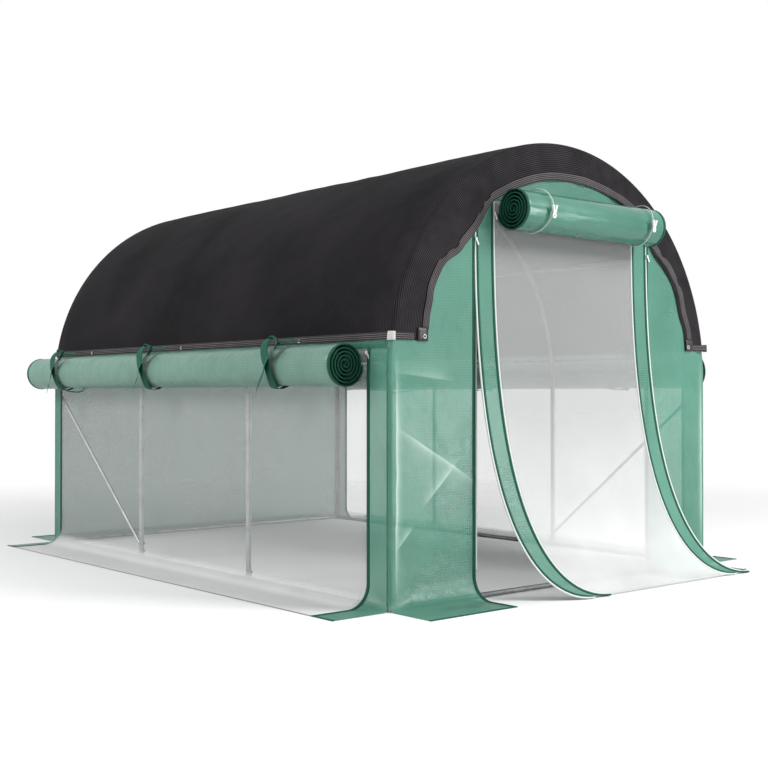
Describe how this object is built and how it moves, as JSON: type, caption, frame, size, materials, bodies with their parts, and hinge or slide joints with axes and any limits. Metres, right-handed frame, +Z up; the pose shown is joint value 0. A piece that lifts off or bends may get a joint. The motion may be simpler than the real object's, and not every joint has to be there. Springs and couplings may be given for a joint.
{
  "type": "polytunnel greenhouse",
  "caption": "Walk-in hoop tunnel greenhouse with green film cover, rolled-up side windows and door over insect screens, ground skirts and a black shade net over the roof.",
  "frame": {"origin": "on the ground, at the middle of the tunnel's footprint", "axes": "+Z up, +Y along the tunnel from the doorway end to the back wall, +X to the right seen from the doorway end"},
  "size_m": [2.6856, 3.6456, 2.0019],
  "materials": {
    "galvanised_steel": "zinc plated tube, satin",
    "green_film": "translucent reinforced polyethylene film",
    "insect_screen": "fine white polyethylene insect screen",
    "shade_net": "knitted black shade net",
    "grey_webbing": "woven polyester webbing",
    "green_ribbon": "woven polyester ribbon",
    "white_cord": "braided elastic cord",
    "white_plastic": "moulded plastic",
    "eyelet_metal": "pressed and plated"
  },
  "bodies": {
    "root": {"front_left_post": "galvanised_steel", "front_right_post": "galvanised_steel", "second_left_post": "galvanised_steel", "second_right_post": "galvanised_steel", "third_left_post": "galvanised_steel", "third_right_post": "galvanised_steel", "back_left_post": "galvanised_steel", "back_right_post": "galvanised_steel", "front_arch": "galvanised_steel", "second_arch": "galvanised_steel", "third_arch": "galvanised_steel", "back_arch": "galvanised_steel", "left_purlin": "galvanised_steel", "ridge_purlin": "galvanised_steel", "right_purlin": "galvanised_steel", "left_base_rail": "galvanised_steel", "right_base_rail": "galvanised_steel", "front_base_rail": "galvanised_steel", "back_base_rail": "galvanised_steel", "left_brace": "galvanised_steel", "right_brace": "galvanised_steel", "roof_cover": "green_film", "back_wall": "green_film", "front_left_panel": "green_film", "front_right_panel": "green_film", "front_gable": "green_film", "left_front_corner_strip": "green_film", "left_back_corner_strip": "green_film", "right_front_corner_strip": "green_film", "right_back_corner_strip": "green_film", "door_left_border": "green_film", "door_right_border": "green_film", "left_window_roll": "green_film", "right_window_roll": "green_film", "door_roll": "green_film", "left_window_screen": "insect_screen", "right_window_screen": "insect_screen", "door_screen": "insect_screen", "shade_net": "shade_net", "shade_end_hems": "grey_webbing", "shade_side_hems": "grey_webbing", "left_roll_ties": "green_ribbon", "right_roll_ties": "green_ribbon", "door_roll_cords": "white_cord", "door_cord_toggles": "white_plastic", "shade_eyelets": "eyelet_metal"}
  },
  "joints": []
}
